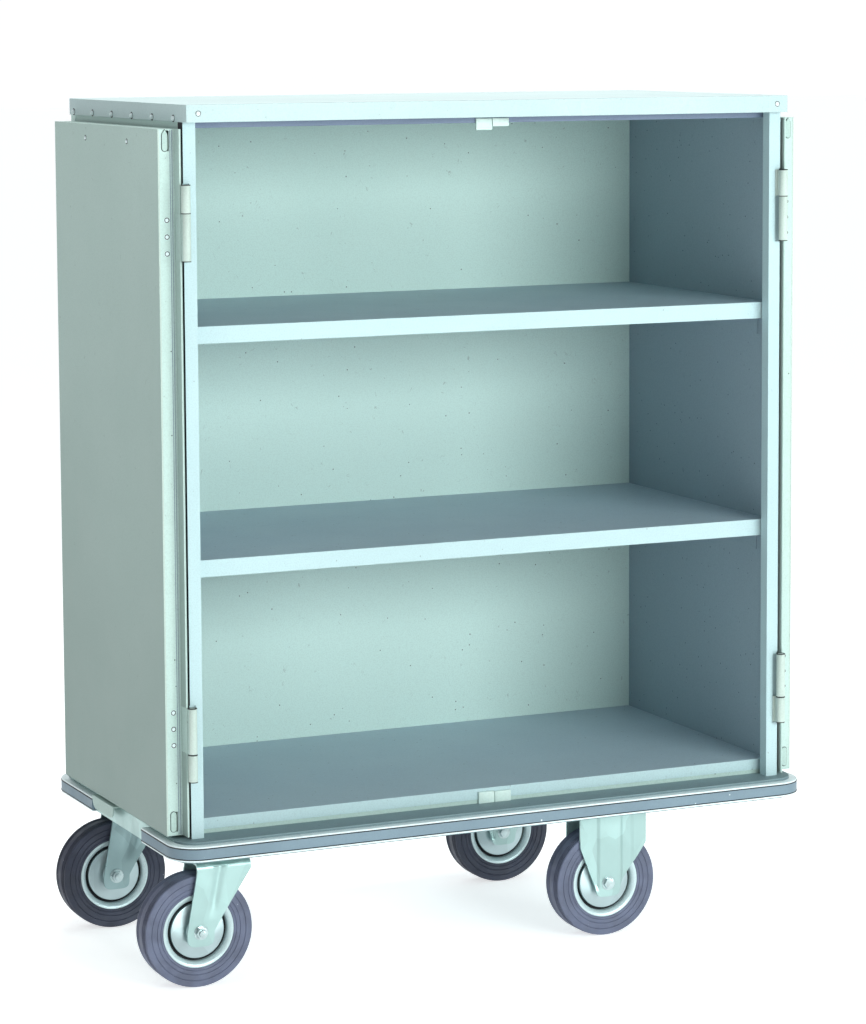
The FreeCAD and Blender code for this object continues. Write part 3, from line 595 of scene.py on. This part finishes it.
def make_fork(name):
    """A swivel caster's fork: one sheet bent over the wheel, with the race's dome on its crown."""
    fork = f"{name}_fork"
    low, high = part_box(fork)
    kingpin = middle_of(f"{name}_top_plate")
    trail = (kingpin.x - middle_of(f"{name}_axle").x) / MM
    spot = Vector((kingpin.x, (low.y + high.y) / 2, 0))
    side, bend = LEG_IN + LEG / 2, 9
    up = [(side, height) for height in tip_heights(FORK_CROWN - bend)]
    over = arc((side - bend, FORK_CROWN - bend), bend, 0, 90, 6)[1:]
    across = [(side - bend - (side - bend) * i / 4, FORK_CROWN) for i in range(1, 5)]
    half = up + over + across
    rows = half + [(-depth, height) for depth, height in reversed(half[:-1])]
    bm = bmesh.new()
    leg_sheet(bm, rows, 64, spot, lambda height: swivel_limits(height, trail), swivel_press)
    # Painted shade: the rear fork gets the darker zinc.
    coat = SHADED_ZINC if name.startswith("rear") else MATERIALS["caster_zinc"]
    sheet = add(f"{name}_fork_sheet", bm, BODY_OF[fork], coat)
    thickened(sheet, LEG)
    bm = bmesh.new()
    dome = [(218, 46.5), (219.5, 46.5), (222, 43.5), (225.4, 38.0)]
    dome += [(227.6, 36.4), (228.4, 34.8), (228.4, 6.2), (218, 6.2)]
    lathe(bm, dome, spot, (0, 0, 1), 96, True)
    head = add(f"{name}_fork_head", bm, BODY_OF[fork], MATERIALS["caster_zinc"])
    rounded_edges(head, 0.4 * MM)
    for piece in (sheet, head):
        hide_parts(fork)


def raised_up(bm, face, rise):
    """Pulls a face up into a solid of its own, by a rise in metres."""
    raised = bmesh.ops.extrude_face_region(bm, geom=[face])
    moved = [item for item in raised["geom"] if isinstance(item, bmesh.types.BMVert)]
    bmesh.ops.translate(bm, vec=rise, verts=moved)


def make_fixed_bracket(name):
    """A fixed caster's bracket: two pressed legs under a plate with rounded corners."""
    bracket = f"{name}_bracket"
    low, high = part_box(bracket)
    centre = (low + high) / 2
    shift = (centre.x - middle_of(f"{name}_axle").x) / MM
    spot = Vector((centre.x, centre.y, 0))
    plate_low = high.z / MM - 5
    body = BODY_OF[bracket]
    pieces = []
    for side, tag in ((-1, "front"), (1, "back")):
        bm = bmesh.new()
        rows = [(side * (LEG_IN + LEG / 2), height) for height in tip_heights(plate_low)]
        leg_sheet(
            bm, rows, 92, spot,
            lambda height: fixed_limits(height, shift),
            lambda x, height: fixed_press(x, height, shift),
        )
        leg = add(f"{name}_bracket_{tag}_leg", bm, body, MATERIALS["caster_zinc"])
        pieces.append(thickened(leg, LEG))
    bm = bmesh.new()
    half = (high - low) / 2
    corners = [(-1, -1), (1, -1), (1, 1), (-1, 1)]
    spots = [(centre.x + i * half.x, centre.y + j * half.y, plate_low * MM) for i, j in corners]
    base = bm.faces.new([bm.verts.new(corner) for corner in spots])
    raised_up(bm, base, (0, 0, high.z - plate_low * MM))
    upright = [edge for edge in bm.edges if abs(edge.verts[0].co.z - edge.verts[1].co.z) > MM]
    bmesh.ops.bevel(bm, geom=upright, offset=8 * MM, segments=5, affect="EDGES")
    plate = add(f"{name}_bracket_plate", bm, body, MATERIALS["caster_zinc"], False)
    pieces.append(rounded_edges(plate, 0.5 * MM))
    for piece in pieces:
        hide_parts(bracket)


def make_washers(name):
    """A washer under the axle's head and nut, lying on the legs."""
    node = f"{name}_axle"
    axle = middle_of(node)
    spot = Vector((axle.x, middle_of(f"{name}_tyre").y, axle.z))
    face, bore, wide = LEG_IN + LEG, 6.1, 13.0
    outline = [(face, bore), (face, wide), (face + 1.0, wide), (face + 1.4, wide - 0.6), (face + 1.4, bore)]
    for side, tag in ((-1, "front"), (1, "back")):
        bm = bmesh.new()
        lathe(bm, outline, spot, (0, side, 0), 48, True)
        add(f"{name}_{tag}_washer", bm, BODY_OF[node], MATERIALS["bolt_zinc"], False)


# ---------------------------------------------------------------- bumper
def bumper_path():
    """The bumper's way round the deck's edge, from one side of the gap to the other."""
    low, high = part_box("deck_plate")
    corner, margin, straight = 40 * MM, 60 * MM, 20 * MM
    left_end = [
        vert.co.y for vert in NODES["bumper"].data.vertices
        if vert.co.x < low.x - 1 * MM and low.y + margin < vert.co.y < high.y - margin
    ]
    gap_front = max(y for y in left_end if y < 0.0)
    gap_back = min(y for y in left_end if y > 0.0)
    path = [Vector((low.x, gap_front, 0)), Vector((low.x, low.y + corner + straight, 0))]
    corners = ((low.x, low.y, 180), (high.x, low.y, 270), (high.x, high.y, 0), (low.x, high.y, 90))
    for x, y, start in corners:
        centre = (x + (corner if x < 0 else -corner), y + (corner if y < 0 else -corner))
        path += [Vector((a, b, 0)) for a, b in arc(centre, corner, start, start + 90, 12)]
    return path + [Vector((low.x, high.y - corner - straight, 0)), Vector((low.x, gap_back, 0))]


def swept(bm, path, outline):
    """An outline of (outwards, up) points, in mm, carried along a level path."""
    rings = []
    for i, spot in enumerate(path):
        before, after = path[max(i - 1, 0)], path[min(i + 1, len(path) - 1)]
        along = (after - before).normalized()
        out = along.cross(Vector((0, 0, 1)))
        rings.append([bm.verts.new(spot + (out * a + Vector((0, 0, 1)) * b) * MM) for a, b in outline])
    for near, far in zip(rings, rings[1:]):
        for i in range(len(outline)):
            j = (i + 1) % len(outline)
            bm.faces.new((near[i], near[j], far[j], far[i]))
    bm.faces.new(rings[0])
    bm.faces.new(rings[-1])


def make_bumper():
    """The grey strip, with a light trim and a dark line of painted shade along its top and its bottom."""
    low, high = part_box("bumper")
    z0, z1 = low.z / MM, high.z / MM
    path = bumper_path()
    body = BODY_OF["bumper"]
    outline = [(0.2, z0 + 1.8), (0.2, z1 - 1.8), (3.0, z1 - 1.6)]
    outline += arc((10.6, z1 - 5.6), 4.3, 82, 4, 6)
    outline += [(14.9, z1 - 10), (14.9, z0 + 9)]
    outline += arc((10.6, z0 + 5.6), 4.3, -4, -82, 6)
    outline += [(3.0, z0 + 1.6)]
    bm = bmesh.new()
    swept(bm, path, outline)
    strip = add("bumper_strip", bm, body, MATERIALS["bumper_grey"])
    rounded_edges(strip, 0.5 * MM, 2, 45)
    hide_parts("bumper")
    for tag, level, sign, reach, thick in (("top", z1, 1, 14.8, 3.4), ("bottom", z0, -1, 14.6, 3.4)):
        # Painted shade: a near-black line just inside the trim.
        bm = bmesh.new()
        swept(bm, path, arc((reach, level - sign * (thick + 0.7)), 1.0, 0, 315, 7))
        line = add(f"bumper_{tag}_line", bm, body, SHADE_BLACK)
        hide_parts("bumper")
        inner = level - sign * thick
        lip = [(0.2, inner), (0.2, level), (reach - 1, level - sign * 0.1), (reach, level - sign * 0.6)]
        lip += [(reach, level - sign * (thick - 0.2)), (reach - 1, inner)]
        bm = bmesh.new()
        swept(bm, path, lip)
        trim = add(f"bumper_{tag}_trim", bm, body, BRIGHT_TRIM_AND_HIGHLIGHT)
        rounded_edges(trim, 0.25 * MM, 2, 30)
        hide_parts("bumper")


# ---------------------------------------------------------------- fasteners and plugs
FRONT_HEADS = ("lid_screws", "left_door_rivets", "right_door_rivets")
SIDEWAYS = 2.4  # heads that face left or right stand out more by this
HEAD_SIDES = 32


def make_heads(node, radius, height, ring):
    """Domed heads with a seam of painted shade and a pressed ring round them, on the outside of their
    sheet.
    """
    for index, (low, high) in enumerate(islands(node)):
        size = high - low
        thin = min(range(3), key=lambda i: size[i])
        base = (low + high) / 2
        outwards = -1 if thin == 1 and node in FRONT_HEADS else math.copysign(1, base[thin])
        base[thin] = (low if outwards > 0 else high)[thin]
        axis = Vector((0, 0, 0))
        axis[thin] = outwards
        lift = height if thin else height * SIDEWAYS
        outline = [(-0.2, radius + ring), (0.12, radius + ring), (0.2, radius + ring * 0.8)]
        outline += [(0.02, radius + ring * 0.7), (0.0, radius)]
        turns = [math.radians(turn) for turn in (22, 44, 64, 80)]
        outline += [(lift * math.sin(turn), radius * math.cos(turn)) for turn in turns]
        bm = bmesh.new()
        lathe(bm, outline, base, axis, HEAD_SIDES)
        # The domes are white for a painted highlight; the seam's rows are near-black painted shade.
        piece = add(f"{node}_head_{index:02d}", bm, BODY_OF[node], BRIGHT_TRIM_AND_HIGHLIGHT)
        piece.data.materials.append(SHADE_BLACK)
        first_dark = 2 if thin else 0
        for face in piece.data.polygons:
            face.material_index = 1 if first_dark <= face.index // HEAD_SIDES <= 3 else 0
        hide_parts(node)


def upright_plate(name, outline, spot, thick, body, material):
    """A flat piece facing the front, from an outline of (along x, up) points, in mm."""
    x, y, z = spot
    bm = bmesh.new()
    back = bm.faces.new([bm.verts.new((x + a * MM, y, z + b * MM)) for a, b in outline])
    raised_up(bm, back, (0, -thick * MM, 0))
    return add(name, bm, body, material)


def strip_front(side):
    """Where a door's hinge strip faces the front: its rivets that are thin along Y lie on it."""
    rivets = [pair for pair in islands(f"{side}_door_rivets") if pair[1].y - pair[0].y < 2 * MM]
    return max(high.y for low, high in rivets)


def make_slot_plugs(side):
    """A slot edged with painted shade and its plug at both ends of a door's hinge strip; the top plug is
    pointed.
    """
    pan = f"{side}_door_pan"
    low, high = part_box(pan)
    inwards, tall, lift = 12.5 * MM, 12.5, 0.3 * MM
    x = low.x + inwards if side == "left" else high.x - inwards
    for tag, level in (("top", high.z - 20 * MM), ("low", low.z + 24.5 * MM)):
        for part, half, thick, rounding, slot, material in (
            # The seat: near-black painted shade round the plug.
            ("seat", 6.0, 0.7, 0.2, "dish_black", SHADE_BLACK),
            ("plug", 5.0, 2.2, 0.7, "door_sheet", MATERIALS["door_sheet"]),
        ):
            top = arc((0, tall), half, 0, 180, 12)
            if tag == "top":
                shoulder = half * 0.9
                top = [(half, tall - 4), (shoulder, tall), (0, tall + half * 1.25)]
                top += [(-shoulder, tall), (-half, tall - 4)]
            outline = top + arc((0, -tall), half, 180, 360, 12)
            spot = (x, strip_front(side) + lift, level)
            piece = upright_plate(
                f"{side}_door_{tag}_{part}", outline, spot, thick, BODY_OF[pan], material
            )
            rounded_edges(piece, rounding * MM, 3, 50)


def make_hinge_seams(side):
    """Lines of painted shade round a hinge's barrels, where they meet and where they end."""
    pins, frame_half = f"{side}_hinge_pins", f"{side}_frame_hinges"
    axis = middle_of(pins)
    radius = (axis.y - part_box(frame_half)[0].y) / MM
    levels = set()
    for node in (frame_half, f"{side}_door_hinges"):
        for low, high in islands(node):
            levels.update((round(low.z / MM), round(high.z / MM)))
    half, inner, outer = 0.7, 5.0, radius + 0.15
    seam = [(-half, inner), (-half, outer), (half, outer), (half, inner)]
    for index, level in enumerate(sorted(levels)):
        bm = bmesh.new()
        lathe(bm, seam, Vector((axis.x, axis.y, level * MM)), (0, 0, 1), 40, True)
        add(f"{side}_hinge_seam_{index}", bm, BODY_OF[frame_half], SHADE_BLACK)


def rectangle(half_wide, low, high):
    return [(-half_wide, low), (half_wide, low), (half_wide, high), (-half_wide, high)]


def make_strip_lines(side):
    """The folds of a door's hinge strip: a painted highlight on the bend at the panel and two fine lines of
    painted shade by the lip.
    """
    pan = f"{side}_door_pan"
    low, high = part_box(pan)
    corner, inwards = (low.x, 1) if side == "left" else (high.x, -1)
    half_high = (high.z - low.z) / MM / 2 - 1.5
    for tag, distance, half, thick, material in (
        # Painted highlight: the bend, in the lighter hinge grey.
        ("bend", 1.6, 1.2, 0.5, MATERIALS["hinge_grey"]),
        # Painted shade: the fold and the hem, in the dark header coat.
        ("fold", 22.0, 0.5, 0.35, HEADER_SHADE),
        ("hem", 25.5, 0.5, 0.35, HEADER_SHADE),
    ):
        x = corner + inwards * distance * MM
        spot = (x, strip_front(side) + 0.1 * MM, (low.z + high.z) / 2)
        outline = rectangle(half, -half_high, half_high)
        name = f"{side}_door_{tag}_line"
        piece = upright_plate(name, outline, spot, thick, BODY_OF[pan], material)
        rounded_edges(piece, 0.15 * MM, 2, 50)


def make_skirt():
    """The strip between the cabinet floor's lip and the deck."""
    floor = "cabinet_floor"
    low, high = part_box(floor)
    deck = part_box("deck_plate")[1].z
    outline = rectangle((high.x - low.x) / MM / 2, 0, (low.z - deck) / MM if low.z > deck else 7.0)
    spot = (0, low.y + 1.5 * MM, deck)
    sheet = MATERIALS["door_sheet"]
    piece = upright_plate("cabinet_floor_skirt", outline, spot, 1.2, BODY_OF[floor], sheet)
    rounded_edges(piece, 0.3 * MM)


def coat_details():
    """Coats that differ on one face of a piece."""
    facing = 0.9
    # The fronts of the shelves and the floor get the lighter post coat; their tops keep the painted shade.
    for node in ("shelf_upper", "shelf_lower", "cabinet_floor"):
        coat_faces(node, MATERIALS["post_silver"], lambda centre, normal: normal.y < -facing)
    # Painted light: the lid's top faces get the lighter coat.
    coat_faces("lid", LID_TOP_LIT, lambda centre, normal: normal.z > facing)
    for side, out in (("left", -1), ("right", 1)):
        for node, coat in (
            # Painted shade: the posts' outer faces, in the gap by the doors, near-black.
            (f"front_post_{side}", GAP_SHADE),
            # The side walls' outer faces get the plain panel coat; their insides keep the painted shade.
            (f"side_panel_{side}", MATERIALS["panel_sheet"]),
            (f"{side}_door_pan", DOOR_FACE),
        ):
            coat_faces(node, coat, lambda centre, normal: normal.x * out > facing)
        # Painted light: the hinge strip's faces to the front get the lighter coat.
        coat_faces(f"{side}_door_pan", STRIP_LIT, lambda centre, normal: normal.y < -facing)
        barrel = abs(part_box(f"{side}_frame_hinges")[0 if side == "left" else 1].x) - 1 * MM
        hinges = f"{side}_door_hinges"
        coat_faces(hinges, MATERIALS["door_sheet"], lambda centre, normal: abs(centre.x) > barrel)


# ---------------------------------------------------------------- the cart
EDGE = {  # how far each sheet's or casting's edges are rounded
    "deck_plate": 0.8, "deck_long_rails": 0.8, "deck_end_rails": 0.8, "end_bracket": 0.8,
    "front_post_left": 0.9, "front_post_right": 0.9, "rear_corner_left": 0.6, "rear_corner_right": 0.6,
    "side_panel_left": 0.3, "side_panel_right": 0.3, "back_panel": 0.3,
    "cabinet_floor": 0.7, "shelf_upper": 0.7, "shelf_lower": 0.7, "shelf_angles": 0.4,
    "header_rail": 0.8, "lid": 0.7, "top_catches": 0.8, "floor_catches": 0.8,
    "left_frame_hinges": 0.6, "right_frame_hinges": 0.6, "left_door_hinges": 0.5, "right_door_hinges": 0.5,
    "left_door_skin": 0.4, "right_door_skin": 0.4, "left_door_pan": 0.5, "right_door_pan": 0.5,
    "left_door_pull": 0.6, "latch_dish": 0.6, "latch_handle": 1.2, "latch_cam": 0.6,
    "front_swivel_top_plate": 0.6, "rear_swivel_top_plate": 0.6,
    "front_swivel_axle": 0.6, "rear_swivel_axle": 0.6, "front_fixed_axle": 0.6, "rear_fixed_axle": 0.6,
}
OTHER_SHEET = {
    "cabinet_floor": SHELF_SHADE, "shelf_upper": SHELF_SHADE, "shelf_lower": SHELF_SHADE,
    "side_panel_left": WALL_SHADE, "side_panel_right": WALL_SHADE, "shelf_angles": WALL_SHADE,
    "header_rail": HEADER_SHADE, "lid": LID_SHEET, "end_bracket": MATERIALS["door_sheet"],
    # Painted light: the deck's end rails lie in shade and get the lighter caster zinc.
    "deck_end_rails": MATERIALS["caster_zinc"],
}
for node_name, edge in EDGE.items():
    refined(node_name, edge * MM, OTHER_SHEET.get(node_name))
coat_details()
make_bumper()
for wheel_name in ("front_swivel", "rear_swivel", "front_fixed", "rear_fixed"):
    make_wheel(wheel_name)
    make_washers(wheel_name)
for caster_name in ("front_swivel", "rear_swivel"):
    make_fork(caster_name)
for caster_name in ("front_fixed", "rear_fixed"):
    make_fixed_bracket(caster_name)
make_heads("lid_rivets", 4.2, 1.8, 2.2)
make_heads("lid_screws", 3.9, 1.6, 1.5)
make_heads("left_door_rivets", 3.2, 1.0, 1.7)
make_heads("right_door_rivets", 3.2, 1.0, 1.7)
for door_side in ("left", "right"):
    make_slot_plugs(door_side)
    make_hinge_seams(door_side)
    make_strip_lines(door_side)
make_skirt()


# ---------------------------------------------------------------- studio
def make_floor():
    """A wide white floor that glows a little, so that it runs into the background."""
    bm = bmesh.new()
    bmesh.ops.create_grid(bm, x_segments=1, y_segments=1, size=60)
    mesh = bpy.data.meshes.new("floor")
    bm.to_mesh(mesh)
    bm.free()
    floor = bpy.data.objects.new("floor", mesh)
    shader = Shader("floor_white", Base_Color=(0.86, 0.87, 0.87, 1), Roughness=0.9)
    shader.surface.inputs["Emission Color"].default_value = (1, 1, 1, 1)
    shader.surface.inputs["Emission Strength"].default_value = 0.62
    mesh.materials.append(shader.material)
    bpy.context.scene.collection.objects.link(floor)


def make_world():
    """Pale all round, and white behind the cart as seen from the front left."""
    behind = (0.415, 0.91, 0)
    world = bpy.data.worlds.new("studio")
    world.use_nodes = True
    bpy.context.scene.world = world
    nodes, links = world.node_tree.nodes, world.node_tree.links
    along = nodes.new("ShaderNodeVectorMath")
    along.operation = "DOT_PRODUCT"
    along.inputs[1].default_value = behind
    links.new(nodes.new("ShaderNodeTexCoord").outputs["Generated"], along.inputs[0])
    ramp = nodes.new("ShaderNodeMapRange")
    ramp.interpolation_type = "SMOOTHSTEP"
    ramp.inputs["From Min"].default_value = 0.5
    ramp.inputs["From Max"].default_value = 0.9
    ramp.inputs["To Min"].default_value = 0.36
    ramp.inputs["To Max"].default_value = 1.08
    links.new(along.outputs["Value"], ramp.inputs["Value"])
    back = nodes["Background"]
    back.inputs["Color"].default_value = (0.93, 0.98, 1.0, 1)
    links.new(ramp.outputs["Result"], back.inputs["Strength"])


def add_light(name, spot, aim, width, height, watts, colour):
    """A soft rectangular lamp at a spot, turned to its aim."""
    data = bpy.data.lights.new(name, "AREA")
    data.shape = "RECTANGLE"
    data.size = width
    data.size_y = height
    data.energy = watts
    data.color = colour
    light = bpy.data.objects.new(name, data)
    light.location = spot
    light.rotation_euler = (Vector(aim) - Vector(spot)).to_track_quat("-Z", "Y").to_euler()
    bpy.context.scene.collection.objects.link(light)


def make_camera():
    """Above the lid, in front and to the left, looking right and a little down."""
    yaw, pitch, roll = math.radians(24.51), math.radians(6.12), math.radians(0.3)
    data = bpy.data.cameras.new("camera")
    data.lens = 120.3
    data.shift_y = -0.12
    data.clip_end = 200
    camera = bpy.data.objects.new("camera", data)
    turn = Matrix.Rotation(-yaw, 4, "Z") @ Matrix.Rotation(math.pi / 2 - pitch, 4, "X")
    spot = Matrix.Translation((-2.5937, -5.7209, 1.6735))
    camera.matrix_world = spot @ turn @ Matrix.Rotation(-roll, 4, "Z")
    bpy.context.scene.collection.objects.link(camera)
    bpy.context.scene.camera = camera


make_floor()
make_world()
add_light("key", (1.7, -5.7, 2.1), (0, 0, 0.85), 3.6, 1.6, 262, (0.90, 1.0, 0.98))
add_light("fill", (-4.6, -1.6, 1.8), (-0.6, 0, 0.8), 2.0, 2.2, 8, (0.90, 1.0, 0.96))
add_light("top", (0, 0.5, 4.0), (0, 0.1, 1.5), 2.0, 1.6, 56, (0.97, 1.0, 0.98))
make_camera()
bpy.context.scene.view_settings.view_transform = "Standard"
